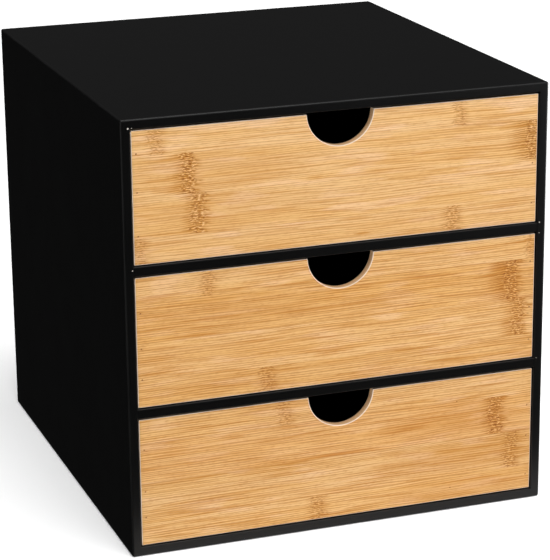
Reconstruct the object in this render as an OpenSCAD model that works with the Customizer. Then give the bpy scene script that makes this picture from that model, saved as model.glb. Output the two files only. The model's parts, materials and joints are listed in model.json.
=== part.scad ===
// Desktop cabinet with three mini drawers.
//
// A box of four mitred, black-painted boards holds two shelves and a back panel.
// In each of the three bays runs a plain drawer: a bamboo front with a half-round
// finger notch, nailed to two side boards, with a back board and a grooved-in bottom.
// Millimetres. X is the width, -Y the front, Z up; the origin is the middle of the base.

/* [Cabinet] */
// Outer width of the cabinet
cabinet_w = 250; // [180:1:320]
// Outer height of the cabinet
cabinet_h = 250; // [190:1:320]
// Outer depth of the cabinet, front edge to back
cabinet_d = 270; // [180:1:340]
// Thickness of the cabinet boards and shelves
board_t = 5.5; // [4.5:0.1:9]
// Thickness of the back panel
back_t = 3; // [2:0.1:4]
// Width of the rebate that the back panel lies in
back_lap = 3; // [2:0.1:3.6]
// Clearance round the back panel in its rebate
back_fit = 0.1; // [0.05:0.05:0.5]

/* [Drawer front] */
// Thickness of the bamboo front
front_t = 5; // [4:0.1:8]
// How far the front lies behind the cabinet's front edge
front_recess = 1; // [0:0.1:3]
// Gap between the top of a front and the board above it
gap_above = 0.9; // [0.5:0.1:2]
// Gap between the bottom of a front and the board below it
gap_below = 0.5; // [0.3:0.1:2]
// Radius of the half-round finger notch
notch_r = 19.5; // [10:0.1:24]
// Height of the notch's centre above the top of the front
notch_rise = 0.5; // [0:0.1:3]

/* [Drawer box] */
// Thickness of the drawer's side and back boards
drawer_board_t = 5.5; // [4:0.1:7]
// Gap on each side of a drawer
side_gap = 0.5; // [0.3:0.1:2]
// Gap under the drawer box, where it slides
slide_gap = 0.2; // [0.1:0.1:1]
// Gap between a shut drawer and the back panel that stops it
stop_gap = 0.3; // [0.1:0.1:2]
// Step from the top of the front down to the drawer's side boards
side_step = 1.5; // [0:0.1:10]
// Thickness of the drawer's bottom panel
bottom_t = 3; // [2:0.1:4]
// Depth of the groove that holds the bottom panel
groove_d = 2; // [1:0.1:3]
// Height of the bottom panel above the lower edge of the side boards
groove_h = 4; // [3:0.1:8]
// Clearance round the bottom panel in its groove
groove_fit = 0.1; // [0.05:0.05:0.3]

/* [Nails] */
// Diameter of a nail's shank
nail_d = 0.8; // [0.6:0.1:1.6]
// How far a nail's head stands out past its shank all round
head_rim = 0.15; // [0.1:0.05:0.5]
// Thickness of a nail's head
head_t = 0.5; // [0.3:0.1:1]
// Length of the nails in the cabinet's corners and shelves
cabinet_nail_l = 20; // [14:1:30]
// Length of the nails in the drawer fronts
front_nail_l = 20; // [12:1:30]
// Length of the nails in the drawer backs
rear_nail_l = 18; // [12:1:30]
// Length of the nails in the back panel
panel_nail_l = 12; // [8:1:16]
// Depth of a drawer or back panel nail's head below the face
nail_set = 0.3; // [0.1:0.1:1]
// Depth of filler over a cabinet nail's head
filler_t = 0.6; // [0.3:0.1:1.5]
// Distance of the top nail in a drawer's boards from the top of its front or side
top_nail_drop = 18; // [10:1:24]
// Distance of the lowest nail in a drawer's boards above its bottom panel
low_nail_rise = 6.3; // [5:0.1:11]
// Distance of the outer nails in a row from the cabinet's edge
nail_margin = 30; // [20:1:40]
// Nails in the row along each corner, each shelf end and each end of a drawer's back
row_nails = 3; // [2:1:5]
// Nails in the row along each edge of the back panel
panel_row_nails = 4; // [3:1:6]

/* [Hidden] */
node = "all";
DRAWERS = ["lower", "middle", "upper"];
DRAWER_PIECES = [
    "front", "left_side", "right_side", "back", "bottom", "front_nails", "back_nails"
];
NODES = concat(
    [
        "top_board", "bottom_board", "left_side_board", "right_side_board",
        "upper_shelf", "lower_shelf", "back_panel",
        "corner_nails", "shelf_nails", "back_panel_nails"
    ],
    [for (name = DRAWERS) for (piece = DRAWER_PIECES) str(name, "_drawer_", piece)]
);

// The nails in the fronts are driven by hand, so each lies a little off an even row.
// For each drawer, lowest first: how far each nail drops, on the left, then on the right.
nail_wander = [
    [[0, 3, -3.5], [4.5, 1.5, 4]],
    [[2.5, 1, -3], [-1.5, 4, 2]],
    [[-5, -5.5, -3], [1.5, 0, 1.5]]
];

bays = len(DRAWERS);
cut = 1;
round_fn = 96;
nail_fn = 32;
head_d = nail_d + 2 * head_rim;

front_y = -cabinet_d / 2;
back_y = cabinet_d / 2;
inner_w = cabinet_w - 2 * board_t;
bay_h = (cabinet_h - (bays + 1) * board_t) / bays;
bay_d = cabinet_d - back_t;

front_w = inner_w - 2 * side_gap;
front_h = bay_h - gap_above - gap_below;
front_face_y = front_y + front_recess;
drawer_start_y = front_face_y + front_t;
drawer_end_y = back_y - back_t - stop_gap;
side_l = drawer_end_y - drawer_start_y;
side_h = bay_h - gap_above - side_step - slide_gap;
drawer_inner_w = front_w - 2 * drawer_board_t;
bottom_w = drawer_inner_w + 2 * groove_d;
bottom_l = side_l - drawer_board_t + 2 * groove_d;
bottom_rise = slide_gap + groove_h;
low_nail_h = bottom_rise + bottom_t + low_nail_rise;

// Colours of the finished pieces
mdf_black = "#1b1b1d";
bamboo = "#dfae70";
steel = "#8d8f92";

function bay_z(bay) = board_t + bay * (bay_h + board_t);
function spread(first, last, count) =
    [for (i = [0 : count - 1]) first + (last - first) * i / (count - 1)];

// ---- Nails ----

// A nail that points along +Z, with the top of its head at the origin.
module nail(length) {
    cylinder(d = nail_d, h = length, $fn = nail_fn);
    cylinder(d = head_d, h = head_t, $fn = nail_fn);
}

// The pocket that setting a nail leaves between its head and the wood's face.
module set_pocket() {
    translate([0, 0, -nail_set - cut]) cylinder(d = head_d, h = nail_set + cut, $fn = nail_fn);
}

// A row of nails across each mitre, driven in from the side boards and filled over.
module corner_nail_group() {
    for (side = [-1, 1])
        for (z = [board_t / 2, cabinet_h - board_t / 2])
            for (y = spread(front_y + nail_margin, back_y - nail_margin, row_nails))
                translate([side * (cabinet_w / 2 - filler_t), y, z])
                    rotate([0, -side * 90, 0]) nail(cabinet_nail_l);
}

// A row of nails into each end of each shelf, filled over.
module shelf_nail_group() {
    for (side = [-1, 1])
        for (shelf = [1 : bays - 1])
            for (y = spread(front_y + nail_margin, back_y - nail_margin, row_nails))
                translate([side * (cabinet_w / 2 - filler_t), y, bay_z(shelf) - board_t / 2])
                    rotate([0, -side * 90, 0]) nail(cabinet_nail_l);
}

// Places its children along the four edges of the back panel, pointing forwards.
module along_back_panel() {
    rim_x = cabinet_w / 2 - board_t + back_lap / 2;
    rim_z = board_t - back_lap / 2;
    for (side = [-1, 1])
        for (z = spread(nail_margin, cabinet_h - nail_margin, panel_row_nails))
            translate([side * rim_x, back_y - nail_set, z]) rotate([90, 0, 0]) children();
    for (z = [rim_z, cabinet_h - rim_z])
        for (x = spread(nail_margin - cabinet_w / 2, cabinet_w / 2 - nail_margin, panel_row_nails))
            translate([x, back_y - nail_set, z]) rotate([90, 0, 0]) children();
}

// Places its children at the nails of one drawer front, pointing backwards.
module along_front(bay) {
    top_z = bay_z(bay) + bay_h - gap_above - top_nail_drop;
    low_z = bay_z(bay) + low_nail_h;
    for (side = [0, 1]) {
        drops = nail_wander[bay][side];
        heights = spread(top_z, low_z, len(drops));
        for (i = [0 : len(drops) - 1])
            translate([
                (2 * side - 1) * (front_w - drawer_board_t) / 2,
                front_face_y + nail_set,
                heights[i] - drops[i]
            ]) rotate([-90, 0, 0]) children();
    }
}

// Places its children at the nails through a drawer's sides into its back board.
module along_back(bay) {
    top_z = bay_z(bay) + slide_gap + side_h - top_nail_drop;
    rows = spread(top_z, bay_z(bay) + low_nail_h, row_nails);
    for (side = [-1, 1])
        for (z = rows)
            translate([side * (front_w / 2 - nail_set), drawer_end_y - drawer_board_t / 2, z])
                rotate([0, -side * 90, 0]) children();
}

module corner_nails() color(steel) corner_nail_group();
module shelf_nails() color(steel) shelf_nail_group();
module back_panel_nails() color(steel) along_back_panel() nail(panel_nail_l);
module drawer_front_nails(bay) color(steel) along_front(bay) nail(front_nail_l);
module drawer_back_nails(bay) color(steel) along_back(bay) nail(rear_nail_l);

// ---- Cabinet ----

// A board that lies outer face down along X, mitred at both ends and rebated at the back.
module mitred_board(length) {
    difference() {
        rotate([90, 0, 0]) linear_extrude(cabinet_d, center = true) polygon([
            [-length / 2, 0],
            [length / 2, 0],
            [length / 2 - board_t, board_t],
            [board_t - length / 2, board_t]
        ]);
        translate([-length / 2, back_y - back_t, board_t - back_lap])
            cube([length, back_t + cut, back_lap + cut]);
    }
}

// Takes the cabinet's own nails out of its children.
module nailed_cabinet() {
    difference() {
        children();
        corner_nail_group();
        shelf_nail_group();
        along_back_panel() nail(panel_nail_l);
    }
}

module top_board()
    color(mdf_black) nailed_cabinet()
        translate([0, 0, cabinet_h]) mirror([0, 0, 1]) mitred_board(cabinet_w);

module bottom_board() color(mdf_black) nailed_cabinet() mitred_board(cabinet_w);

module side_board(side)
    color(mdf_black) nailed_cabinet()
        translate([side * cabinet_w / 2, 0, cabinet_h / 2])
            rotate([0, -side * 90, 0]) mitred_board(cabinet_h);

module shelf(level)
    color(mdf_black) nailed_cabinet()
        translate([-inner_w / 2, front_y, bay_z(level) - board_t])
            cube([inner_w, bay_d, board_t]);

module back_panel() {
    panel_w = inner_w + 2 * (back_lap - back_fit);
    panel_h = cabinet_h - 2 * (board_t - back_lap + back_fit);
    color(mdf_black) difference() {
        translate([-panel_w / 2, back_y - back_t, (cabinet_h - panel_h) / 2])
            cube([panel_w, back_t, panel_h]);
        along_back_panel() nail(panel_nail_l);
        along_back_panel() set_pocket();
    }
}

// ---- Drawers ----

// The bottom panel of a drawer, grown all round by a clearance.
module bottom_blank(bay, grow) {
    translate([
        -bottom_w / 2 + groove_fit - grow,
        drawer_start_y - groove_d + groove_fit - grow,
        bay_z(bay) + bottom_rise - grow
    ]) cube([
        bottom_w - 2 * groove_fit + 2 * grow,
        bottom_l - 2 * groove_fit + 2 * grow,
        bottom_t + 2 * grow
    ]);
}

module drawer_bottom(bay) color(mdf_black) bottom_blank(bay, 0);

module drawer_front(bay) {
    top_z = bay_z(bay) + bay_h - gap_above;
    color(bamboo) difference() {
        translate([-front_w / 2, front_face_y, bay_z(bay) + gap_below])
            cube([front_w, front_t, front_h]);
        translate([0, front_face_y + front_t / 2, top_z + notch_rise])
            rotate([90, 0, 0])
                cylinder(r = notch_r, h = front_t + 2 * cut, center = true, $fn = round_fn);
        bottom_blank(bay, groove_fit);
        along_front(bay) nail(front_nail_l);
        along_front(bay) set_pocket();
    }
}

module drawer_side(bay, side) {
    inner_x = drawer_inner_w / 2;
    outer_x = front_w / 2;
    color(mdf_black) difference() {
        translate([side > 0 ? inner_x : -outer_x, drawer_start_y, bay_z(bay) + slide_gap])
            cube([drawer_board_t, side_l, side_h]);
        bottom_blank(bay, groove_fit);
        along_front(bay) nail(front_nail_l);
        along_back(bay) nail(rear_nail_l);
        along_back(bay) set_pocket();
    }
}

module drawer_back(bay) {
    color(mdf_black) difference() {
        translate([
            -drawer_inner_w / 2, drawer_end_y - drawer_board_t, bay_z(bay) + slide_gap
        ]) cube([drawer_inner_w, drawer_board_t, side_h]);
        bottom_blank(bay, groove_fit);
        along_back(bay) nail(rear_nail_l);
    }
}

// ---- Nodes ----

function shown(name) = node == "all" || node == name;
function piece(bay, name) = str(DRAWERS[bay], "_drawer_", name);

if (shown("top_board")) top_board();
if (shown("bottom_board")) bottom_board();
if (shown("left_side_board")) side_board(-1);
if (shown("right_side_board")) side_board(1);
if (shown("upper_shelf")) shelf(2);
if (shown("lower_shelf")) shelf(1);
if (shown("back_panel")) back_panel();
if (shown("corner_nails")) corner_nails();
if (shown("shelf_nails")) shelf_nails();
if (shown("back_panel_nails")) back_panel_nails();
for (bay = [0 : bays - 1]) {
    if (shown(piece(bay, "front"))) drawer_front(bay);
    if (shown(piece(bay, "left_side"))) drawer_side(bay, -1);
    if (shown(piece(bay, "right_side"))) drawer_side(bay, 1);
    if (shown(piece(bay, "back"))) drawer_back(bay);
    if (shown(piece(bay, "bottom"))) drawer_bottom(bay);
    if (shown(piece(bay, "front_nails"))) drawer_front_nails(bay);
    if (shown(piece(bay, "back_nails"))) drawer_back_nails(bay);
}
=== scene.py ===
import json
import math

import bmesh
import bpy
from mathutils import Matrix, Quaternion, Vector

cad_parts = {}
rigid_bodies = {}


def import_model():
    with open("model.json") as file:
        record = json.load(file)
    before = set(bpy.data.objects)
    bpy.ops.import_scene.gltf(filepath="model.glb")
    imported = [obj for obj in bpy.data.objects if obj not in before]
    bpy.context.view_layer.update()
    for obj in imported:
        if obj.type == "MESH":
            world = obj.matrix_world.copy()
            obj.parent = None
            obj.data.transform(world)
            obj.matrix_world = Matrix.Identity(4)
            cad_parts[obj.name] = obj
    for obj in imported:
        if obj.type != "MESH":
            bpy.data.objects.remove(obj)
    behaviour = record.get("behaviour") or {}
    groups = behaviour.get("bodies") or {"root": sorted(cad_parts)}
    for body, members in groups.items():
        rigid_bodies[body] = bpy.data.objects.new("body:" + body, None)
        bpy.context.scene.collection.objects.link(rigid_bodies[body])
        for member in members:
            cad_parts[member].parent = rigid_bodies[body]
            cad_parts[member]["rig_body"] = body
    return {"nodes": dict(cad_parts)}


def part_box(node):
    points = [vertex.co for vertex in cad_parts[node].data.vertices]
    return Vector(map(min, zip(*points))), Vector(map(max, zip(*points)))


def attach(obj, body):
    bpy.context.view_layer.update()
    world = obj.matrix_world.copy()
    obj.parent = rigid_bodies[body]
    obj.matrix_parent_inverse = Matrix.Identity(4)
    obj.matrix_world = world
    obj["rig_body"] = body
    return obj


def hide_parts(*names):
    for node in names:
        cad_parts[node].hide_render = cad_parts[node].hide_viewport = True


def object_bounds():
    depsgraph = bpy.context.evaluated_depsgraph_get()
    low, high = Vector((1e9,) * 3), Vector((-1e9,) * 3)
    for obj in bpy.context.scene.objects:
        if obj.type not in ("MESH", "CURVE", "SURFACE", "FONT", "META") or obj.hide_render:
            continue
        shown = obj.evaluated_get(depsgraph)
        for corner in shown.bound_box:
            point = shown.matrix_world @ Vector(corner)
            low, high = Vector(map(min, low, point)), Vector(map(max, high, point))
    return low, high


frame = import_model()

# A black desk cabinet with three bamboo-fronted drawers, in metres: X is the width, -Y the
# front and Z up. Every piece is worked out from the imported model, whose boards, nails and
# bodies say what goes where.

mm = 0.001
weld = 1e-6  # points closer than this are one
drawers = ("lower", "middle", "upper")
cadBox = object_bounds()


camera = {
    "azimuth": -19.55,  # degrees round from the front, towards the left side
    "elevation": 17.22,
    "roll": -0.58,
    "distance": 1.34,
    "target": (-0.0215, -0.0852, 0.136),
    "lens": 150.2,  # mm, as is the sensor's width
    "sensor": 36.0,
}


def makeCamera():
    azimuth = math.radians(camera["azimuth"])
    elevation = math.radians(camera["elevation"])
    back = Vector((
        math.sin(azimuth) * math.cos(elevation),
        -math.cos(azimuth) * math.cos(elevation),
        math.sin(elevation),
    ))
    roll = Quaternion((0, 0, 1), math.radians(camera["roll"]))
    data = bpy.data.cameras.new("photoCamera")
    data.lens = camera["lens"]
    data.sensor_width = camera["sensor"]
    eye = bpy.data.objects.new("photoCamera", data)
    eye.location = Vector(camera["target"]) + camera["distance"] * back
    eye.rotation_mode = "QUATERNION"
    eye.rotation_quaternion = back.to_track_quat("Z", "Y") @ roll
    bpy.context.collection.objects.link(eye)
    bpy.context.scene.camera = eye


makeCamera()
print("camera ready")

studio = {
    "skyColour": "#FFFFFF",
    "skyStrength": (0.02, 0.15),  # below and level with the floor, and overhead
    "floorColour": "#FDFDFD",
    "floorRoughness": 0.9,
    "floorSpecular": 0.1,
    "floorGlow": 0.22,  # lit from behind too, which thins the shadows on it
    "floorSize": 14.0,  # metres
    "floorDrop": 0.2 * mm,  # below the cabinet, so that no two faces share a plane
    "frontStrip": 40 * mm,  # the paper this close in front shows in the gloss of the paint
    "stripDrop": 0.1 * mm,
    # name: where it stands, what it points at, size in metres, watts, colour
    "softboxes": {
        "lowRight": ((0.85, -0.95, 0.18), (0.1, -0.1, 0.08), 0.35, 2.05, "#FFFFFF"),
        "rightEdge": ((0.62, -0.1, 0.11), (0.125, -0.13, 0.11), 0.14, 2.4, "#FFFFFF"),
        "lowLeft": ((-1.3, -0.55, 0.1), (0, -0.1, 0.12), 0.4, 2.4, "#FFFFFF"),
    },
    "sunDirection": (0.0, 0.42, -1.0),
    "sunStrength": 3.05,
    "sunAngle": 50,  # degrees across, for soft shadows
}


def linearColour(hexColour):
    # sRGB hex to linear colour with alpha
    channels = [int(hexColour[i:i + 2], 16) / 255 for i in (1, 3, 5)]
    return [c / 12.92 if c <= 0.04045 else ((c + 0.055) / 1.055) ** 2.4 for c in channels] + [1.0]


def addNode(tree, kind, settings=None, inputs=None):
    # inputs: socket name or number -> a plain value, or the output socket to link from
    node = tree.nodes.new(kind)
    for name, value in (settings or {}).items():
        setattr(node, name, value)
    for key, value in (inputs or {}).items():
        if isinstance(key, str):
            socket = next(s for s in node.inputs if s.name == key and s.enabled)
        else:
            socket = node.inputs[key]
        if isinstance(value, bpy.types.NodeSocket):
            tree.links.new(value, socket)
        else:
            socket.default_value = value
    return node


def newMaterial(name):
    # an empty material and its tree
    material = bpy.data.materials.new(name)
    material.use_nodes = True
    material.node_tree.nodes.clear()
    return material, material.node_tree


def makeSky():
    world = bpy.data.worlds.new("studio")
    world.use_nodes = True
    world.node_tree.nodes.clear()
    direction = addNode(world.node_tree, "ShaderNodeSeparateXYZ", inputs={
        0: addNode(world.node_tree, "ShaderNodeTexCoord").outputs["Generated"],
    })
    # dark at the floor and pale overhead
    brightness = addNode(world.node_tree, "ShaderNodeMapRange", inputs={
        "Value": direction.outputs[2],
        "To Min": studio["skyStrength"][0], "To Max": studio["skyStrength"][1],
    })
    sky = addNode(world.node_tree, "ShaderNodeBackground", inputs={
        "Color": linearColour(studio["skyColour"]), "Strength": brightness.outputs[0],
    })
    addNode(world.node_tree, "ShaderNodeOutputWorld", inputs={"Surface": sky.outputs[0]})
    bpy.context.scene.world = world


def makeLamp(name, kind, place, direction, settings):
    # a lamp that shines in that direction
    data = bpy.data.lights.new(name, kind)
    for setting, value in settings.items():
        setattr(data, setting, value)
    lamp = bpy.data.objects.new(name, data)
    lamp.location = place
    lamp.rotation_euler = (-Vector(direction)).to_track_quat("Z", "Y").to_euler()
    bpy.context.collection.objects.link(lamp)


def makeLamps():
    for name, (place, aim, size, power, colour) in studio["softboxes"].items():
        makeLamp(name, "AREA", place, Vector(aim) - Vector(place), {
            "shape": "SQUARE", "size": size, "energy": power, "color": linearColour(colour)[:3],
        })
    makeLamp("softSun", "SUN", (0, 0, 0), studio["sunDirection"], {
        "energy": studio["sunStrength"], "angle": math.radians(studio["sunAngle"]),
    })


def makePaper():
    # seamless white studio paper: matt, so that it shows no reflection of its own
    material, tree = newMaterial("mattStudioPaper")
    paper = addNode(tree, "ShaderNodeBsdfPrincipled", inputs={
        "Base Color": linearColour(studio["floorColour"]),
        "Roughness": studio["floorRoughness"],
        "Specular IOR Level": studio["floorSpecular"],
        "Emission Color": linearColour(studio["floorColour"]),
        "Emission Strength": studio["floorGlow"],
    })
    addNode(tree, "ShaderNodeOutputMaterial", inputs={"Surface": paper.outputs[0]})
    half = studio["floorSize"] / 2
    strip = studio["frontStrip"]
    (left, front, low), right = cadBox[0], cadBox[1][0]
    sheets = {
        # black flags keep the floor out of the gloss, so that the paint stays black
        "floor": ((-half, -half), (half, half), low - studio["floorDrop"], False),
        "frontStrip": (
            (left, front - strip), (right + strip, front), low - studio["stripDrop"], True,
        ),
    }
    for name, ((x0, y0), (x1, y1), z, inGloss) in sheets.items():
        mesh = bpy.data.meshes.new(name)
        mesh.from_pydata(
            [(x0, y0, z), (x1, y0, z), (x1, y1, z), (x0, y1, z)], [], [(0, 1, 2, 3)]
        )
        mesh.materials.append(material)
        sheet = bpy.data.objects.new(name, mesh)
        bpy.context.collection.objects.link(sheet)
        sheet.visible_glossy = inGloss


bpy.context.scene.view_settings.view_transform = "Standard"
makeSky()
makeLamps()
makePaper()
print("studio ready")


paint = {
    # thinColour is where a coat runs thin: on the arrises, and in dry patches by the share "dry"
    "fullCoat": {
        "colour": "#050505", "thinColour": "#151515", "dry": 0.0,
        "roughness": (0.4, 0.43), "specular": 0.24,
    },
    "thinCoat": {
        "colour": "#181818", "thinColour": "#212121", "dry": 0.5,
        "roughness": (0.5, 0.6), "specular": 0.2,
    },
    "mottle": 28 * mm,  # patches of slightly drier spray
    "dryLevels": (0.35, 0.65),  # of that mottle, between which a thin coat turns dry
    "mattLevels": (0.3, 0.7),  # and between which any coat turns more matt
    "orangePeel": 0.8 * mm,  # spacing of the ripple that a spray gun leaves
    "peelDepth": 0.012 * mm,
    "bareBoard": "#B9B4AC",
    # where the coat is chipped off at the joints of the front: mm in the frame, radius in mm
    "chips": (
        ((-120.6, -135, 245.0), 0.5), ((-118.6, -135, 245.0), 0.25),
        ((-120.3, -135, 166.6), 0.3), ((121.0, -135, 168.6), 0.4),
        ((121.0, -135, 162.4), 0.25), ((121.0, -135, 87.0), 0.25),
    ),
}


def paintedBoard(name, coat, chips=()):
    # Black lacquer sprayed on fibreboard. On the sanded boards it is deep and satin, with a
    # faint ripple, and a little lighter where it pulls thin over an arris. The hardboard
    # panels get one thin coat, which sinks in and dries patchy and more matt.
    material, tree = newMaterial(name)
    place = addNode(tree, "ShaderNodeTexCoord").outputs["Object"]
    mottle = addNode(tree, "ShaderNodeTexNoise", inputs={
        "Vector": place, "Scale": 1 / paint["mottle"], "Detail": 2.0, "Roughness": 0.5,
    })
    peel = addNode(tree, "ShaderNodeTexNoise", inputs={
        "Vector": place, "Scale": 1 / paint["orangePeel"], "Detail": 1.0, "Roughness": 0.4,
    })
    arris = addNode(tree, "ShaderNodeAttribute", {"attribute_name": "arris"})
    dry = addNode(tree, "ShaderNodeMapRange", inputs={
        "Value": mottle.outputs["Fac"], "To Max": coat["dry"],
        "From Min": paint["dryLevels"][0], "From Max": paint["dryLevels"][1],
    })
    thin = addNode(tree, "ShaderNodeMath", {"operation": "MULTIPLY_ADD", "use_clamp": True}, {
        0: arris.outputs["Fac"], 1: mottle.outputs["Fac"], 2: dry.outputs[0],
    })
    colour = addNode(tree, "ShaderNodeMix", {"data_type": "RGBA"}, {
        "Factor": thin.outputs[0],
        "A": linearColour(coat["colour"]),
        "B": linearColour(coat["thinColour"]),
    }).outputs[2]
    for (x, y, z), radius in chips:
        away = addNode(tree, "ShaderNodeVectorMath", {"operation": "DISTANCE"}, {
            0: place, 1: (x * mm, y * mm, z * mm),
        })
        ragged = addNode(tree, "ShaderNodeMath", {"operation": "MULTIPLY_ADD"}, {
            0: peel.outputs["Fac"], 1: -radius * mm, 2: away.outputs["Value"],
        })
        chip = addNode(tree, "ShaderNodeMath", {"operation": "LESS_THAN"}, {
            0: ragged.outputs[0], 1: radius * mm / 2,
        })
        colour = addNode(tree, "ShaderNodeMix", {"data_type": "RGBA"}, {
            "Factor": chip.outputs[0], "A": colour, "B": linearColour(paint["bareBoard"]),
        }).outputs[2]
    roughness = addNode(tree, "ShaderNodeMapRange", inputs={
        "Value": mottle.outputs["Fac"],
        "From Min": paint["mattLevels"][0], "From Max": paint["mattLevels"][1],
        "To Min": coat["roughness"][0], "To Max": coat["roughness"][1],
    })
    bump = addNode(tree, "ShaderNodeBump", inputs={
        "Strength": 1.0, "Distance": paint["peelDepth"], "Height": peel.outputs["Fac"],
    })
    surface = addNode(tree, "ShaderNodeBsdfPrincipled", inputs={
        "Base Color": colour,
        "Roughness": roughness.outputs[0],
        "Specular IOR Level": coat["specular"],
        "Normal": bump.outputs[0],
    })
    addNode(tree, "ShaderNodeOutputMaterial", inputs={"Surface": surface.outputs[0]})
    return material


steel = {
    "colour": "#C98A45",
    "dullColour": "#8A5420",  # the darker brown of the patches
    "metallic": 0.3,  # little of the bare metal shows through
    "roughness": 0.5,
    "patch": 0.7 * mm,
    "dullLevels": (0.35, 0.6),  # of those patches, between which a head turns the darker brown
}


def nailSteel():
    # Drawn mild steel wire, coloured a patchy brown.
    material, tree = newMaterial("drawnWireSteel")
    place = addNode(tree, "ShaderNodeTexCoord").outputs["Object"]
    patches = addNode(tree, "ShaderNodeTexNoise", inputs={
        "Vector": place, "Scale": 1 / steel["patch"], "Detail": 2.0,
    })
    dull = addNode(tree, "ShaderNodeMapRange", inputs={
        "Value": patches.outputs["Fac"],
        "From Min": steel["dullLevels"][0], "From Max": steel["dullLevels"][1],
    })
    colour = addNode(tree, "ShaderNodeMix", {"data_type": "RGBA"}, {
        "Factor": dull.outputs[0],
        "A": linearColour(steel["colour"]),
        "B": linearColour(steel["dullColour"]),
    })
    surface = addNode(tree, "ShaderNodeBsdfPrincipled", inputs={
        "Base Color": colour.outputs[2],
        "Metallic": steel["metallic"],
        "Roughness": steel["roughness"],
    })
    addNode(tree, "ShaderNodeOutputMaterial", inputs={"Surface": surface.outputs[0]})
    return material


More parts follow.
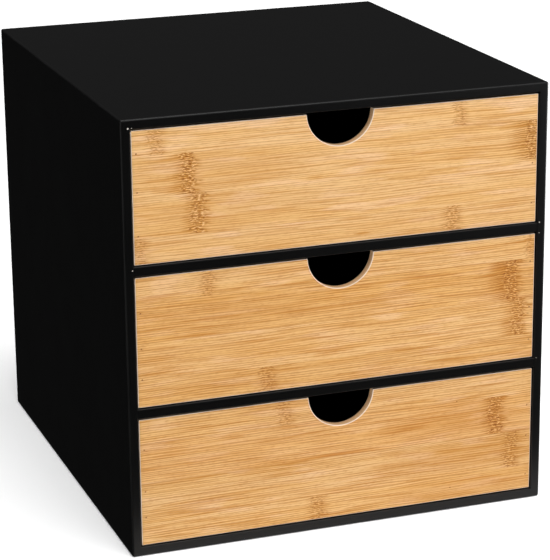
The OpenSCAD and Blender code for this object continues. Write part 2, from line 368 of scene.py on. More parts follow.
bamboo = {
    "ground": "#E4BA83",
    "gold": "#DFAE6B",
    "blush": "#EAC298",
    "fibreDark": "#AC6D26",
    "fibrePale": "#F4CB93",
    "streak": "#C07E22",
    "scorch": "#A06200",
    "speck": "#854600",
    "sawn": "#D6AE85",  # end grain and the sawn notch drink more lacquer
    "arris": "#F8EFE4",  # paler sanded fibres on a rounded arris, and a painted highlight along it
    # a tint for each strip that its colour is multiplied by, from the top of a front down; the
    # upper front's are the lightest
    "strips": {
        "upper": ("#FFFFFF", "#FCFAF5", "#FBF9F4", "#F9F6F1"),
        "middle": ("#F6F0E4", "#F2E7CE", "#F6F1E6", "#F0E7D3"),
        "lower": ("#F2EDE3", "#EFE5D3", "#F0EDE6", "#F1EEE4"),
    },
    "seams": (14.6, 37.5, 59.9),  # glue lines between strips, mm below the top of a front
    "seamWidth": 0.3,
    # length, depth and height of a fleck in each layer of the grain, mm
    "grain": {
        "drift": (90.0, 8.0, 9.0),
        "fade": (26.0, 0.8, 1.0),
        "dash": (3.5, 0.5, 0.45),
        "strand": (60.0, 2.0, 1.9),
        "vein": (42.0, 1.5, 0.8),
        "band": (120.0, 9.0, 7.0),
        "patch": (34.0, 9.0, 6.0),
        "knot": (2.0, 1.1, 0.65),
    },
    "fibreSpacing": 1.3,  # mm from one fibre bundle to the next
    "fibreDrift": 3.0,  # spacings that the bundles close up or spread by
    "wave": (90.0, 12.0, 12.0),  # how long and high the waves are that bend the fibres, mm
    "waveBy": 1.8,
    "curl": (2.4, 1.5, 2.0),  # fibres curl round in a knuckle, mm
    "curlBy": 1.3,
    "wobble": (60.0, 10.0, 3.0),  # how a knuckle's line wanders across its strip, mm
    "wobbleBy": 5.0,
    "fray": (60.0, 5.0, 0.8),  # and how its scorched fibres differ in length, mm
    "frayBy": 7.0,
    "coreEdge": (5.5, 2.5),  # mm from that line, where the speckled core starts and is full
    "rightEdge": (8.0, 2.0),  # and the same for the scorched fibre on its right
    "streakEdge": (0.25, 0.0),  # of a streak: squares of the share of its size, rim to middle
    "stripShift": 173.0,  # mm; each strip is cut from another part of the cane
    # how far each noise is moved from front to front, and each layer of grain from the last
    "waveShift": (7.3, 3.1, 0.0),
    "curlShift": (1.9, 0.0, 0.0),
    "grainShift": (11.7, 2.9, 0.0),
    "layerShift": (5.1, 0.0, 4.7),
    "contrast": {"upper": 0.85, "middle": 1.08, "lower": 1.1},  # how strongly the fibres show
    # the levels between which each layer comes up: fibre, tissue and scorched go by the place
    # across a bundle, the others by the noise of their grain
    "levels": {
        "band": (0.42, 0.62), "patch": (0.52, 0.68), "strand": (0.52, 0.64),
        "vein": (0.55, 0.68), "dash": (0.5, 0.66), "tissue": (0.24, 0.08),
        "tissueFade": (0.64, 0.44), "fibre": (0.22, 0.42), "fibreFade": (0.36, 0.56),
        "scorched": (0.12, 0.34), "speckle": (0.53, 0.64), "fleck": (0.44, 0.34),
    },
    # in the order that they are laid, from broad patches to fine specks: the colour of each
    # layer, its strength, and whether it is one that the contrast changes
    "layers": {
        "band": ("gold", 0.6, False),
        "patch": ("blush", 0.7, False),
        "strand": ("streak", 0.34, True),
        "vein": ("streak", 0.55, True),
        "dash": ("fibreDark", 0.28, True),
        "tissue": ("fibrePale", 0.42, True),
        "fibre": ("fibreDark", 0.46, True),
        "streaks": ("streak", 0.55, False),
        "halo": ("streak", 0.5, False),
        "scorched": ("scorch", 0.75, False),
        "speckle": ("speck", 0.85, False),
        "fleck": ("fibrePale", 0.75, False),
        "glue": ("fibreDark", 0.3, False),
    },
    "pinStrength": 0.8,
    # how strongly the sawn colour and the arris colour, partly a painted highlight, are laid on
    "edgeStrength": {"sawn": 0.75, "arris": 0.7},
    "roughness": (0.46, 0.56),
    "specular": 0.2,
    "fibreDepth": 0.015 * mm,
    # which strip, mm from the left end, strength, mm of scorched fibre on its left
    "knuckles": {
        "upper": (
            (0, 13.6, 0.5, 7), (0, 190.0, 0.5, 5), (1, 31.5, 0.95, 13), (1, 235.5, 0.9, 18),
            (2, 36.5, 0.85, 11), (3, 1.5, 0.5, 5), (3, 186.0, 0.6, 8),
        ),
        "middle": (
            (0, 41.5, 0.5, 7), (0, 236.0, 0.45, 4), (1, 223.5, 1.0, 19), (2, 228.0, 0.85, 14),
            (3, 75.5, 0.6, 8),
        ),
        "lower": (
            (0, 85.0, 0.5, 6), (1, 215.0, 0.95, 11), (2, 225.0, 0.7, 8), (3, 104.5, 0.6, 8),
        ),
    },
    # pin knots: mm from the left end, mm below the top, radius in mm
    "pins": {"upper": (), "middle": (), "lower": ((190.6, 14.4, 0.55), (187.0, 67.2, 0.6))},
    # mm from the left end, mm below the top, length, height, strength
    "streaks": {
        "upper": (
            (51, 39.7, 26, 3.2, 0.7), (20, 34.6, 26, 3.6, 0.7), (222, 17.8, 26, 3.2, 0.7),
            (128, 61.2, 26, 3.0, 0.7), (132, 70.2, 13, 1.1, 1.6), (104, 35.5, 12, 3.4, 0.5),
            (30, 26, 24, 24, 0.4), (35, 49, 18, 24, 0.3), (24, 33.5, 20, 7, 0.6),
            (50, 26, 150, 26, 0.35), (50, 49, 150, 26, 0.35), (52, 40.2, 22, 3, 0.6),
        ),
        "middle": (
            (60, 28.5, 46, 6, 0.4), (34, 36.2, 18, 3, 0.6), (12, 13.4, 34, 2.2, 0.7),
            (109, 57.5, 24, 3.2, 0.6), (154, 58.8, 30, 3.6, 0.6), (60, 26, 170, 26, 0.25),
            (60, 49, 150, 26, 0.2), (112, 29.5, 130, 2.4, 0.8), (32, 36.4, 44, 1.8, 0.9),
            (219, 26, 30, 24, 0.3), (216, 18.5, 18, 7, 0.8), (226, 49, 22, 24, 0.3),
        ),
        "lower": (
            (37, 38.6, 50, 1.4, 1.0), (66, 39.4, 32, 4.5, 0.6), (122, 35.9, 56, 3.4, 0.6),
            (152, 41, 24, 4, 0.6), (164, 26.8, 26, 1.3, 0.8), (54, 16.5, 20, 3, 0.6),
            (200, 49, 150, 26, 0.6), (200, 68, 150, 20, 0.6), (190, 26, 120, 26, 0.4),
            (214, 26, 20, 24, 0.5), (75, 37.6, 80, 2.0, 0.9), (38, 39.0, 46, 1.0, 1.0),
        ),
    },
}


def numberGroup(name, inputs, outputs):
    # a node group with plain numbers in and out, and the sockets that it is given
    tree = bpy.data.node_groups.new(name, "ShaderNodeTree")
    for direction, sockets in (("INPUT", inputs), ("OUTPUT", outputs)):
        for socket in sockets:
            tree.interface.new_socket(socket, in_out=direction, socket_type="NodeSocketFloat")
    return tree, addNode(tree, "NodeGroupInput").outputs


def shown(tree, value, levels, within=1.0):
    # how far a mark shows: none to all as the value goes from the first level to the second,
    # and only as far as the mask it is within
    share = addNode(tree, "ShaderNodeMapRange", {"interpolation_type": "SMOOTHSTEP"}, {
        "Value": value, "From Min": levels[0], "From Max": levels[1],
    })
    return addNode(tree, "ShaderNodeMath", {"operation": "MULTIPLY"}, {
        0: share.outputs[0], 1: within,
    }).outputs[0]


def ownWeight(tree, given):
    # a mark's strength within its own strip, and nothing outside it
    inStrip = addNode(tree, "ShaderNodeMath", {"operation": "COMPARE"}, {
        0: given["Strip"], 1: given["Own strip"], 2: 0.5,
    })
    return addNode(tree, "ShaderNodeMath", {"operation": "MULTIPLY"}, {
        0: inStrip.outputs[0], 1: given["Strength"],
    }).outputs[0]


def knuckleGroup():
    # Where a cane had a joint: a narrow speckled core, and scorched fibre that runs into it
    # from the left further than from the right.
    tree, given = numberGroup(
        "bambooKnuckle",
        ("Along", "Strip", "Wobble", "Fray", "Own strip", "Centre", "Strength", "Reach"),
        ("Core", "Halo"),
    )
    weight = ownWeight(tree, given)
    offset = addNode(tree, "ShaderNodeMath", {"operation": "SUBTRACT"}, {
        0: given["Along"], 1: given["Centre"],
    })
    wobbled = addNode(tree, "ShaderNodeMath", {"operation": "ADD"}, {
        0: offset.outputs[0], 1: given["Wobble"],
    }).outputs[0]
    distance = addNode(tree, "ShaderNodeMath", {"operation": "ABSOLUTE"}, {0: wobbled})
    leftReach = addNode(tree, "ShaderNodeMath", {"operation": "MULTIPLY"}, {
        0: given["Reach"], 1: -1.0,
    })
    frayedLeft, frayedRight = (
        addNode(tree, "ShaderNodeMath", {"operation": operation}, {
            0: wobbled, 1: given["Fray"],
        }).outputs[0]
        for operation in ("ADD", "SUBTRACT")
    )
    onRight = shown(tree, frayedRight, bamboo["rightEdge"], weight)
    addNode(tree, "NodeGroupOutput", inputs={
        "Core": shown(tree, distance.outputs[0], bamboo["coreEdge"], weight),
        "Halo": shown(tree, frayedLeft, (leftReach.outputs[0], 0.0), onRight),
    })
    return tree


def streakGroup():
    # One long darker streak of fibre within its strip, tapering to both ends.
    tree, given = numberGroup(
        "bambooStreak",
        ("Along", "Down", "Strip", "Own strip", "Centre", "Drop", "Length", "Height", "Strength"),
        ("Mask",),
    )
    squares = []
    for position, middle, size in (("Along", "Centre", "Length"), ("Down", "Drop", "Height")):
        offset = addNode(tree, "ShaderNodeMath", {"operation": "SUBTRACT"}, {
            0: given[position], 1: given[middle],
        })
        share = addNode(tree, "ShaderNodeMath", {"operation": "DIVIDE"}, {
            0: offset.outputs[0], 1: given[size],
        })
        square = addNode(tree, "ShaderNodeMath", {"operation": "POWER"}, {
            0: share.outputs[0], 1: 2.0,
        })
        squares.append(square.outputs[0])
    spread = addNode(tree, "ShaderNodeMath", {"operation": "ADD"}, {0: squares[0], 1: squares[1]})
    mask = shown(tree, spread.outputs[0], bamboo["streakEdge"], ownWeight(tree, given))
    addNode(tree, "NodeGroupOutput", inputs={"Mask": mask})
    return tree


def caneStrips(tree, drawer):
    # Where a point lies, in mm from the left end, through the board and down from the top;
    # which strip it is in, from 0 at the top; that strip's tone; whether it is on a glue line;
    # and the same place moved along by strip, so that each strip has grain of its own.
    low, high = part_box(f"{drawer}_drawer_front")
    place = addNode(tree, "ShaderNodeMapping", inputs={
        "Vector": addNode(tree, "ShaderNodeTexCoord").outputs["Object"],
        "Location": (-low.x / mm, 0.0, high.z / mm),
        "Scale": (1 / mm, 1 / mm, -1 / mm),
    })
    axes = addNode(tree, "ShaderNodeSeparateXYZ", inputs={0: place.outputs[0]})
    along, depth, down = axes.outputs
    strip = glue = 0.0
    tones = [linearColour(tint) for tint in bamboo["strips"][drawer]]
    tone = tones[0]
    for seam, nextTone in zip(bamboo["seams"], tones[1:]):
        below = addNode(tree, "ShaderNodeMath", {"operation": "GREATER_THAN"}, {0: down, 1: seam})
        strip = addNode(tree, "ShaderNodeMath", {"operation": "ADD"}, {
            0: below.outputs[0], 1: strip,
        }).outputs[0]
        tone = addNode(tree, "ShaderNodeMix", {"data_type": "RGBA"}, {
            "Factor": below.outputs[0], "A": tone, "B": nextTone,
        }).outputs[2]
        near = addNode(tree, "ShaderNodeMath", {"operation": "COMPARE"}, {
            0: down, 1: seam, 2: bamboo["seamWidth"] / 2,
        })
        glue = addNode(tree, "ShaderNodeMath", {"operation": "ADD"}, {
            0: near.outputs[0], 1: glue,
        }).outputs[0]
    caneAlong = addNode(tree, "ShaderNodeMath", {"operation": "MULTIPLY_ADD"}, {
        0: strip, 1: bamboo["stripShift"], 2: along,
    }).outputs[0]
    cane = addNode(tree, "ShaderNodeCombineXYZ", inputs={0: caneAlong, 1: depth, 2: down})
    return {
        "along": along, "depth": depth, "down": down, "strip": strip, "tone": tone,
        "glue": glue, "caneAlong": caneAlong, "cane": cane.outputs[0],
        "place": place.outputs[0], "face": low.y / mm,
    }


def stretchedNoise(tree, vector, size, shift, detail=1.0):
    # noise whose flecks have that length, depth and height
    stretched = addNode(tree, "ShaderNodeMapping", inputs={
        "Vector": vector, "Location": shift, "Scale": [1 / length for length in size],
    })
    return addNode(tree, "ShaderNodeTexNoise", inputs={
        "Vector": stretched.outputs[0], "Scale": 1.0, "Detail": detail, "Roughness": 0.5,
    }).outputs["Fac"]


def strongest(tree, values):
    # the largest of several masks
    top = values[0]
    for value in values[1:]:
        top = addNode(tree, "ShaderNodeMath", {"operation": "MAXIMUM"}, {
            0: top, 1: value,
        }).outputs[0]
    return top


def overlaid(tree, mask, under, over, strength):
    # lays one of the bamboo's colours over another by a mask
    share = addNode(tree, "ShaderNodeMath", {"operation": "MULTIPLY", "use_clamp": True}, {
        0: mask, 1: strength,
    })
    return addNode(tree, "ShaderNodeMix", {"data_type": "RGBA"}, {
        "Factor": share.outputs[0], "A": under, "B": linearColour(bamboo[over]),
    }).outputs[2]


def bambooFront(drawer, knuckle, streak):
    # Flat-pressed laminated bamboo, sanded and sealed with clear satin lacquer: wide pale
    # strips glued side by side, fine golden fibres along them, brown speckled knuckles.
    material, tree = newMaterial(f"laminatedBamboo_{drawer}")
    seed = drawers.index(drawer) + 1
    board = caneStrips(tree, drawer)
    levels = bamboo["levels"]

    # knuckles of the cane
    wander = {
        name: addNode(tree, "ShaderNodeMapRange", inputs={
            "Value": stretchedNoise(tree, board["cane"], bamboo[name], (0.0, 0.0, shift), detail),
            "To Min": -bamboo[f"{name}By"], "To Max": bamboo[f"{name}By"],
        }).outputs[0]
        for name, shift, detail in (("wobble", 0.0, 2.0), ("fray", 9.0, 1.0))
    }
    joints = []
    for ownStrip, centre, strength, reach in bamboo["knuckles"][drawer]:
        joints.append(addNode(tree, "ShaderNodeGroup", {"node_tree": knuckle}, {
            "Along": board["along"], "Strip": board["strip"], "Wobble": wander["wobble"],
            "Fray": wander["fray"], "Own strip": float(ownStrip), "Centre": centre,
            "Strength": strength, "Reach": float(reach),
        }))
    core = strongest(tree, [joint.outputs["Core"] for joint in joints])
    halo = strongest(tree, [joint.outputs["Halo"] for joint in joints])

    # the fibres bend in long waves, and curl in a knuckle
    wave, curl = (
        stretchedNoise(
            tree, board["cane"], bamboo[name], [seed * step for step in bamboo[f"{name}Shift"]]
        )
        for name in ("wave", "curl")
    )
    waved = addNode(tree, "ShaderNodeMath", {"operation": "MULTIPLY_ADD"}, {
        0: wave, 1: bamboo["waveBy"], 2: board["down"],
    })
    curled = addNode(tree, "ShaderNodeMath", {"operation": "MULTIPLY"}, {
        0: curl, 1: strongest(tree, [core, halo]),
    })
    bend = addNode(tree, "ShaderNodeMath", {"operation": "MULTIPLY_ADD"}, {
        0: curled.outputs[0], 1: bamboo["curlBy"], 2: waved.outputs[0],
    })
    bent = addNode(tree, "ShaderNodeCombineXYZ", inputs={
        0: board["caneAlong"], 1: board["depth"], 2: bend.outputs[0],
    })
    grain = {}
    for number, (layer, size) in enumerate(bamboo["grain"].items()):
        steps = zip(bamboo["grainShift"], bamboo["layerShift"])
        shift = [seed * byFront + number * byLayer for byFront, byLayer in steps]
        grain[layer] = stretchedNoise(tree, bent.outputs[0], size, shift)
    masks = {
        layer: shown(tree, grain[layer], levels[layer])
        for layer in ("band", "patch", "strand", "vein", "dash")
    }

    # fibre bundles: thin dark lines a little over a millimetre apart that close up, spread
    # and fade, with paler tissue between them
    drift = addNode(tree, "ShaderNodeMath", {"operation": "MULTIPLY"}, {
        0: grain["drift"], 1: bamboo["fibreDrift"],
    })
    bundles = addNode(tree, "ShaderNodeMath", {"operation": "MULTIPLY_ADD"}, {
        0: bend.outputs[0], 1: 1 / bamboo["fibreSpacing"], 2: drift.outputs[0],
    })
    row = addNode(tree, "ShaderNodeMath", {"operation": "PINGPONG"}, {
        0: bundles.outputs[0], 1: 0.5,
    }).outputs[0]
    for layer in ("fibre", "tissue"):
        fade = shown(tree, grain["fade"], levels[f"{layer}Fade"])
        masks[layer] = shown(tree, row, levels[layer], fade)
    masks["halo"] = halo
    masks["scorched"] = shown(tree, row, levels["scorched"], halo)
    for layer in ("speckle", "fleck"):
        masks[layer] = shown(tree, grain["knot"], levels[layer], core)
    masks["glue"] = board["glue"]

    # single long streaks
    level = addNode(tree, "ShaderNodeMath", {"operation": "SUBTRACT"}, {
        0: waved.outputs[0], 1: bamboo["waveBy"] / 2,
    })
    streaks = []
    for centre, drop, length, height, strength in bamboo["streaks"][drawer]:
        ownStrip = sum(drop > seam for seam in bamboo["seams"])
        streaks.append(addNode(tree, "ShaderNodeGroup", {"node_tree": streak}, {
            "Along": board["along"], "Down": level.outputs[0], "Strip": board["strip"],
            "Own strip": float(ownStrip), "Centre": float(centre), "Drop": float(drop),
            "Length": float(length), "Height": float(height), "Strength": strength,
        }).outputs["Mask"])
    masks["streaks"] = strongest(tree, streaks)

    # colour: the layers of the board, its pin knots, the tone of each strip, the cut edges and the
    # arrises, whose pale colour is partly a painted highlight
    colour = linearColour(bamboo["ground"])
    for layer, (over, strength, contrasted) in bamboo["layers"].items():
        contrast = bamboo["contrast"][drawer] if contrasted else 1.0
        colour = overlaid(tree, masks[layer], colour, over, strength * contrast)
    for centre, drop, radius in bamboo["pins"][drawer]:
        away = addNode(tree, "ShaderNodeVectorMath", {"operation": "DISTANCE"}, {
            0: board["place"], 1: (centre, board["face"], drop),
        })
        pin = shown(tree, away.outputs["Value"], (radius, radius / 3))
        colour = overlaid(tree, pin, colour, "speck", bamboo["pinStrength"])
    colour = addNode(tree, "ShaderNodeMix", {"data_type": "RGBA", "blend_type": "MULTIPLY"}, {
        "Factor": 1.0, "A": colour, "B": board["tone"],
    }).outputs[2]
    # the sawn faces' own colour, then the pale arris colour that is partly a painted highlight
    for name, strength in bamboo["edgeStrength"].items():
        mark = addNode(tree, "ShaderNodeAttribute", {"attribute_name": name})
        colour = overlaid(tree, mark.outputs["Fac"], colour, name, strength)

    roughness = addNode(tree, "ShaderNodeMapRange", inputs={
        "Value": masks["fibre"],
        "To Min": bamboo["roughness"][0], "To Max": bamboo["roughness"][1],
    })
    bump = addNode(tree, "ShaderNodeBump", inputs={
        "Strength": 1.0, "Distance": bamboo["fibreDepth"], "Height": grain["dash"],
    })
    surface = addNode(tree, "ShaderNodeBsdfPrincipled", inputs={
        "Base Color": colour,
        "Roughness": roughness.outputs[0],
        "Specular IOR Level": bamboo["specular"],
        "Normal": bump.outputs[0],
    })
    addNode(tree, "ShaderNodeOutputMaterial", inputs={"Surface": surface.outputs[0]})
    return material


blackPaint = paintedBoard("blackSprayedLacquer", paint["fullCoat"], paint["chips"])
panelPaint = paintedBoard("blackThinCoatedHardboard", paint["thinCoat"])
wireSteel = nailSteel()
knuckle = knuckleGroup()
streak = streakGroup()
bambooOf = {drawer: bambooFront(drawer, knuckle, streak) for drawer in drawers}
print("materials ready")


ease = {
    "carcass": 1.3 * mm,  # radius sanded on the cabinet's outer arrises
    "rim": 0.5 * mm,  # and round its front opening
    "board": 0.4 * mm,
    "front": 0.5 * mm,
    "steps": 4,
    "shortest": 5 * mm,  # edges shorter than this are left alone
    "ringShortest": 1 * mm,  # but on the cabinet's skin only the shortest are,
    "rimShortest": 100 * mm,  # and round its front opening all but the longest
    "squareWithin": 0.1,  # radians off a right angle that still count as square
    "flatWithin": 0.5,  # degrees between triangles that make one flat face
    "sharpFrom": 35,  # degrees: edges steeper than this stay crisp
    "flatWeight": 100,  # how firmly the flat faces hold the shading beside them
}


def addPiece(name, shape, material):
    # the finished mesh of a piece, from bmesh to object
    mesh = bpy.data.meshes.new(name)
    shape.to_mesh(mesh)
    shape.free()
    mesh.materials.append(material)
    piece = bpy.data.objects.new(name, mesh)
    bpy.context.collection.objects.link(piece)
    return piece


def applyModifiers(piece):
    graph = bpy.context.evaluated_depsgraph_get()
    mesh = bpy.data.meshes.new_from_object(
        piece.evaluated_get(graph), preserve_all_data_layers=True, depsgraph=graph
    )
    piece.modifiers.clear()
    piece.data = mesh


def smoothFaces(piece):
    # flat faces stay flat and rounded arrises smooth
    piece.data.shade_smooth()
    piece.data.set_sharp_from_angle(angle=math.radians(ease["sharpFrom"]))
    weighted = piece.modifiers.new("flatFaces", "WEIGHTED_NORMAL")
    weighted.keep_sharp = True
    weighted.weight = ease["flatWeight"]
    applyModifiers(piece)


def roundArrises(shape, edges, radius):
    # rounds the edges and marks the new vertices between their two borders
    mark = shape.verts.layers.float.get("arris") or shape.verts.layers.float.new("arris")
    made = bmesh.ops.bevel(
        shape, geom=edges, offset=radius, segments=ease["steps"], profile=0.5,
        affect="EDGES", clamp_overlap=True,
    )
    rounded = set(made["faces"])
    for vert in made["verts"]:
        if all(face in rounded for face in vert.link_faces):
            vert[mark] = 1.0


def squareEdges(shape, shortest, runs="xyz"):
    # outward right-angled edges of at least that length, along the given axes or curved
    found = []
    for edge in shape.edges:
        if len(edge.link_faces) != 2 or not edge.is_convex or edge.calc_length() < shortest:
            continue
        if abs(edge.calc_face_angle() - math.pi / 2) > ease["squareWithin"]:
            continue
        direction = edge.verts[1].co - edge.verts[0].co
        axis = "xyz"[max(range(3), key=lambda i: abs(direction[i]))]
        if axis in runs:
            found.append(edge)
    return found


def cadCopy(node):
    # a CAD node's triangles, merged to flat faces
    shape = bmesh.new()
    shape.from_mesh(frame["nodes"][node].data)
    bmesh.ops.remove_doubles(shape, verts=shape.verts, dist=weld)
    bmesh.ops.dissolve_limit(
        shape, angle_limit=math.radians(ease["flatWithin"]), verts=shape.verts, edges=shape.edges
    )
    return shape


def cut(piece, cutter):
    # takes the cutter's shape out of the piece
    bore = piece.modifiers.new("bores", "BOOLEAN")
    bore.operation = "DIFFERENCE"
    bore.solver = "EXACT"
    bore.object = cutter
    applyModifiers(piece)


def settle(piece, node):
    # a piece that stands for one CAD node rides on that node's body
    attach(piece, frame["nodes"][node]["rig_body"])
    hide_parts(node)


nail = {
    "headRadius": 0.55 * mm,
    "headChamfer": 0.08 * mm,
    "headThickness": 0.5 * mm,
    "shankRadius": 0.4 * mm,
    "pointLength": 1.8 * mm,
    "tipRadius": 0.08 * mm,
    "sides": 20,
}


def nailTree():
    # Round nails on points: a tube of bands whose rings move to a nail's outline, from the
    # top of the head to the tip, turned to each point's own aim.
    tree = bpy.data.node_groups.new("roundNails", "GeometryNodeTree")
    sockets = (
        ("Geometry", "Geometry"), ("Sides", "Int"), ("Head radius", "Float"),
        ("Head chamfer", "Float"), ("Head thickness", "Float"), ("Proud", "Float"),
        ("Shank radius", "Float"), ("Length", "Float"), ("Point length", "Float"),
        ("Tip radius", "Float"), ("Steel", "Material"),
    )
    for name, kind in sockets:
        tree.interface.new_socket(name, in_out="INPUT", socket_type=f"NodeSocket{kind}")
    tree.interface.new_socket("Geometry", in_out="OUTPUT", socket_type="NodeSocketGeometry")
    given = addNode(tree, "NodeGroupInput").outputs

    top = addNode(tree, "ShaderNodeMath", {"operation": "MULTIPLY"}, {0: given["Proud"], 1: -1.0})
    shoulder = addNode(tree, "ShaderNodeMath", {"operation": "ADD"}, {
        0: top.outputs[0], 1: given["Head chamfer"],
    })
    chamfered = addNode(tree, "ShaderNodeMath", {"operation": "SUBTRACT"}, {
        0: given["Head radius"], 1: given["Head chamfer"],
    })
    pointStart = addNode(tree, "ShaderNodeMath", {"operation": "SUBTRACT"}, {
        0: given["Length"], 1: given["Point length"],
    })
    rings = (
        (chamfered.outputs[0], top.outputs[0]),
        (given["Head radius"], shoulder.outputs[0]),
        (given["Head radius"], given["Head thickness"]),
        (given["Shank radius"], given["Head thickness"]),
        (given["Shank radius"], pointStart.outputs[0]),
        (given["Tip radius"], given["Length"]),
    )
    bands = len(rings) - 1
    tube = addNode(tree, "GeometryNodeMeshCylinder", {"fill_type": "NGON"}, {
        "Vertices": given["Sides"], "Side Segments": bands, "Radius": 1.0, "Depth": float(bands),
    })
    position = addNode(tree, "GeometryNodeInputPosition")
    axes = addNode(tree, "ShaderNodeSeparateXYZ", inputs={0: position.outputs[0]})
    number = addNode(tree, "ShaderNodeMath", {"operation": "ADD"}, {
        0: axes.outputs[2], 1: bands / 2,
    })
    ring = addNode(tree, "FunctionNodeFloatToInt", {"rounding_mode": "ROUND"}, {
        0: number.outputs[0],
    })
    picked = []
    for column in (0, 1):
        switch = addNode(tree, "GeometryNodeIndexSwitch", {"data_type": "FLOAT"})
        while len(switch.index_switch_items) < len(rings):
            switch.index_switch_items.new()
        tree.links.new(ring.outputs[0], switch.inputs["Index"])
        for i, values in enumerate(rings):
            tree.links.new(values[column], switch.inputs[i + 1])
        picked.append(switch.outputs[0])
    x, y = (
        addNode(tree, "ShaderNodeMath", {"operation": "MULTIPLY"}, {
            0: axes.outputs[i], 1: picked[0],
        }).outputs[0]
        for i in (0, 1)
    )
    outline = addNode(tree, "ShaderNodeCombineXYZ", inputs={0: x, 1: y, 2: picked[1]})
    oneNail = addNode(tree, "GeometryNodeSetPosition", inputs={
        "Geometry": tube.outputs["Mesh"], "Position": outline.outputs[0],
    })
    aim = addNode(tree, "GeometryNodeInputNamedAttribute", {"data_type": "FLOAT_VECTOR"}, {
        "Name": "aim",
    })
    turned = addNode(tree, "FunctionNodeAlignRotationToVector", {"axis": "Z"}, {
        "Vector": aim.outputs[0],
    })
    placed = addNode(tree, "GeometryNodeInstanceOnPoints", inputs={
        "Points": given["Geometry"], "Instance": oneNail.outputs[0], "Rotation": turned.outputs[0],
    })
    real = addNode(tree, "GeometryNodeRealizeInstances", inputs={0: placed.outputs[0]})
    finished = addNode(tree, "GeometryNodeSetMaterial", inputs={
        "Geometry": real.outputs[0], "Material": given["Steel"],
    })
    addNode(tree, "NodeGroupOutput", inputs={0: finished.outputs[0]})
    return tree


def nailPlaces(node):
    # each loose part of a CAD nail node is one nail, and its wide end is the head; sorted by
    # rounded places, so that the nails come in the same order each time
    shape = bmesh.new()
    shape.from_mesh(frame["nodes"][node].data)
    bmesh.ops.remove_doubles(shape, verts=shape.verts, dist=weld)
    unseen = set(shape.verts)
    places = []
    while unseen:
        toVisit = [unseen.pop()]
        part = []
        while toVisit:
            vert = toVisit.pop()
            part.append(vert.co.copy())
            for edge in vert.link_edges:
                other = edge.other_vert(vert)
                if other in unseen:
                    unseen.remove(other)
                    toVisit.append(other)
        low = Vector([min(co[i] for co in part) for i in range(3)])
        high = Vector([max(co[i] for co in part) for i in range(3)])
        middle = (low + high) / 2
        axis = max(range(3), key=lambda i: high[i] - low[i])
        across = (axis + 1) % 3
        widths = [
            max(abs(co[across] - middle[across]) for co in part if abs(co[axis] - end) < weld)
            for end in (low[axis], high[axis])
        ]
        headAtLow = widths[0] > widths[1]
        head = middle.copy()
        head[axis] = low[axis] if headAtLow else high[axis]
        aim = Vector((0, 0, 0))
        aim[axis] = 1 if headAtLow else -1
        places.append((tuple(round(c, 7) for c in head), tuple(aim), high[axis] - low[axis]))
    shape.free()
    return sorted(places)


nailGroup = nailTree()


def makeNails(node, name, proud=0.0):
    # all the nails of one CAD node; proud heads make the cutter for pockets over set nails
    places = nailPlaces(node)
    mesh = bpy.data.meshes.new(name)
    mesh.from_pydata([head for head, aim, length in places], [], [])
    aims = mesh.attributes.new("aim", "FLOAT_VECTOR", "POINT")
    for i, (head, aim, length) in enumerate(places):
        aims.data[i].vector = aim
    nails = bpy.data.objects.new(name, mesh)
    bpy.context.collection.objects.link(nails)
    values = {
        "Sides": nail["sides"],
        "Head radius": nail["headRadius"],
        "Head chamfer": nail["headChamfer"],
        "Head thickness": nail["headThickness"],
        "Proud": proud,
        "Shank radius": nail["shankRadius"],
        "Length": places[0][2],
        "Point length": nail["pointLength"],
        "Tip radius": nail["tipRadius"],
        "Steel": wireSteel,
    }
    modifier = nails.modifiers.new("nails", "NODES")
    modifier.node_group = nailGroup
    for item in nailGroup.interface.items_tree:
        if item.in_out == "INPUT" and item.name in values:
            modifier[item.identifier] = values[item.name]
    applyModifiers(nails)
    return nails


nailNodes = [name for name in frame["nodes"] if name.endswith("nails")]
nailPieces = {}
for node in nailNodes:
    nailPieces[node] = makeNails(node, f"{node}_steel")
    smoothFaces(nailPieces[node])
    settle(nailPieces[node], node)
print(len(nailPieces), "groups of nails")


def carcassRing():
    # The four mitred boards as one ring: its outline is swept round the corners, rounded as
    # a whole, and later cut apart along the mitres.
    low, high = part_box("left_side_board")[0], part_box("right_side_board")[1]
    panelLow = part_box("back_panel")[0]
    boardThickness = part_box("left_side_board")[1].x - low.x
    rebate = panelLow.x - low.x
    profile = (
        (0, low.y), (boardThickness, low.y), (boardThickness, panelLow.y),
        (rebate, panelLow.y), (rebate, high.y), (0, high.y),
    )
    shape = bmesh.new()
    rings = []
    for inset, y in profile:
        corners = (
            (low.x + inset, low.z + inset), (high.x - inset, low.z + inset),
            (high.x - inset, high.z - inset), (low.x + inset, high.z - inset),
        )
        rings.append([shape.verts.new((x, y, z)) for x, z in corners])
    for i, ring in enumerate(rings):
        following = rings[(i + 1) % len(rings)]
        for j in range(4):
            k = (j + 1) % 4
            shape.faces.new((ring[j], ring[k], following[k], following[j]))
    bmesh.ops.recalc_face_normals(shape, faces=shape.faces)

    def onSkin(vert):
        return (
            min(abs(vert.co.x - low.x), abs(vert.co.x - high.x)) < weld
            or min(abs(vert.co.z - low.z), abs(vert.co.z - high.z)) < weld
        )

    outer = [
        edge for edge in squareEdges(shape, ease["ringShortest"])
        if all(map(onSkin, edge.verts))
    ]
    roundArrises(shape, outer, ease["carcass"])
    inner = [
        edge for edge in squareEdges(shape, ease["rimShortest"])
        if all(abs(v.co.y - low.y) < weld and not onSkin(v) for v in edge.verts)
    ]
    roundArrises(shape, inner, ease["rim"])
    return shape


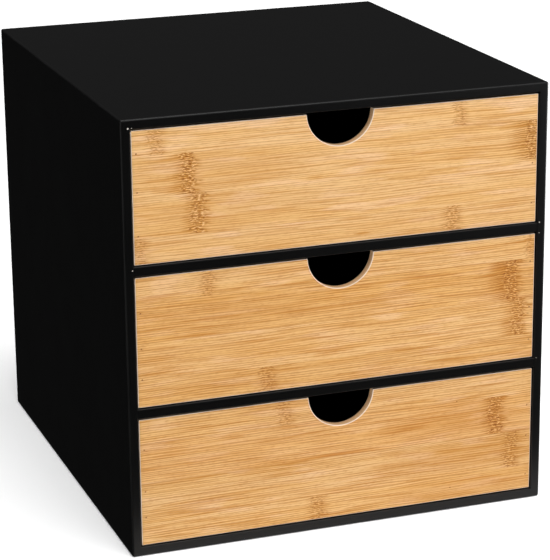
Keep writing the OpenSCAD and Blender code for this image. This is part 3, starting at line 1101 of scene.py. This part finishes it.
def mitredBoard(ring, node, corners):
    # the part of the ring between two mitres; corners are two (x, z) points of the skin
    shape = ring.copy()
    middleZ = (cadBox[0][2] + cadBox[1][2]) / 2
    boardMiddle = (Vector(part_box(node)[0]) + Vector(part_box(node)[1])) / 2
    for x, z in corners:
        normal = Vector((math.copysign(1, middleZ - z), 0, math.copysign(1, x)))
        corner = Vector((x, 0, z))
        if (boardMiddle - corner).dot(normal) < 0:
            normal.negate()
        geometry = shape.verts[:] + shape.edges[:] + shape.faces[:]
        sliced = bmesh.ops.bisect_plane(
            shape, geom=geometry, plane_co=corner, plane_no=normal, clear_inner=True, dist=weld
        )
        edges = [e for e in sliced["geom_cut"] if isinstance(e, bmesh.types.BMEdge)]
        bmesh.ops.edgeloop_fill(shape, edges=edges)
    bmesh.ops.recalc_face_normals(shape, faces=shape.faces)
    return shape


ring = carcassRing()
low, high = Vector(cadBox[0]), Vector(cadBox[1])
skinCorners = {
    "bottom_board": ((low.x, low.z), (high.x, low.z)),
    "top_board": ((low.x, high.z), (high.x, high.z)),
    "left_side_board": ((low.x, low.z), (low.x, high.z)),
    "right_side_board": ((high.x, low.z), (high.x, high.z)),
}
for node, corners in skinCorners.items():
    board = addPiece(f"{node}_painted", mitredBoard(ring, node, corners), blackPaint)
    for nails in ("corner_nails", "shelf_nails", "back_panel_nails"):
        cut(board, nailPieces[nails])
    smoothFaces(board)
    settle(board, node)
ring.free()
print("cabinet boards ready")


def easedBoard(node, radius, runs, coat=blackPaint):
    # a CAD board with its long arrises rounded
    shape = cadCopy(node)
    roundArrises(shape, squareEdges(shape, ease["shortest"], runs), radius)
    board = addPiece(f"{node}_painted", shape, coat)
    smoothFaces(board)
    settle(board, node)


for node in ("upper_shelf", "lower_shelf"):
    easedBoard(node, ease["rim"], "x")
easedBoard("back_panel", ease["board"], "xz", panelPaint)
print("shelves and back panel ready")


frontPlate = {
    "notchRadius": 19.5 * mm,
    "notchRise": 0.5 * mm,  # of the notch's centre above the top of the front
    "notchSteps": 72,
    "shortest": 0.3 * mm,  # the arc's own short edges are rounded too
    "sawnBelow": 0.3,  # a face that looks forward or back less than this is sawn
    "pocket": 1 * mm,  # how far a nail's bore runs on outwards past its head
    "grooveFit": 0.1 * mm,  # clearance round the bottom panel in its groove
}


def cutAway(piece, cutter):
    # the same, with a cutter that isn't needed again
    cut(piece, cutter)
    bpy.data.objects.remove(cutter)


def drawerFront(drawer):
    # the bamboo plate, its notch cut as a true arc, with bores and pockets for its nails
    node = f"{drawer}_drawer_front"
    low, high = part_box(node)
    radius, rise = frontPlate["notchRadius"], frontPlate["notchRise"]
    steps = frontPlate["notchSteps"]
    startAngle = math.asin(rise / radius)
    outline = [(low.x, high.z), (low.x, low.z), (high.x, low.z), (high.x, high.z)]
    for i in range(steps + 1):
        angle = startAngle + (math.pi - 2 * startAngle) * i / steps
        outline.append((radius * math.cos(angle), high.z + rise - radius * math.sin(angle)))
    shape = bmesh.new()
    face = shape.faces.new([shape.verts.new((x, low.y, z)) for x, z in outline])
    pushed = bmesh.ops.extrude_face_region(shape, geom=[face])
    moved = [v for v in pushed["geom"] if isinstance(v, bmesh.types.BMVert)]
    bmesh.ops.translate(shape, verts=moved, vec=(0, high.y - low.y, 0))
    bmesh.ops.recalc_face_normals(shape, faces=shape.faces)
    roundArrises(shape, squareEdges(shape, frontPlate["shortest"]), ease["front"])
    sawn = shape.faces.layers.float.new("sawn")
    for face in shape.faces:
        face[sawn] = 1.0 if abs(face.normal.y) < frontPlate["sawnBelow"] else 0.0
    piece = addPiece(f"{node}_bamboo", shape, bambooOf[drawer])
    cutAway(piece, makeNails(f"{node}_nails", "pocketCutter", frontPlate["pocket"]))

    groove = bmesh.new()
    bottomLow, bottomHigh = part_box(f"{drawer}_drawer_bottom")
    fit = Vector((1, 1, 1)) * frontPlate["grooveFit"]
    bmesh.ops.create_cube(groove, size=1)
    bmesh.ops.scale(groove, vec=bottomHigh - bottomLow + 2 * fit, verts=groove.verts)
    bmesh.ops.translate(groove, vec=(bottomLow + bottomHigh) / 2, verts=groove.verts)
    cutAway(piece, addPiece("grooveCutter", groove, bambooOf[drawer]))
    smoothFaces(piece)
    settle(piece, node)


for drawer in drawers:
    drawerFront(drawer)
    easedBoard(f"{drawer}_drawer_left_side", ease["board"], "yz")
    easedBoard(f"{drawer}_drawer_right_side", ease["board"], "yz")
    easedBoard(f"{drawer}_drawer_back", ease["board"], "x")
    easedBoard(f"{drawer}_drawer_bottom", ease["board"], "xy", panelPaint)
    print(drawer, "drawer ready")
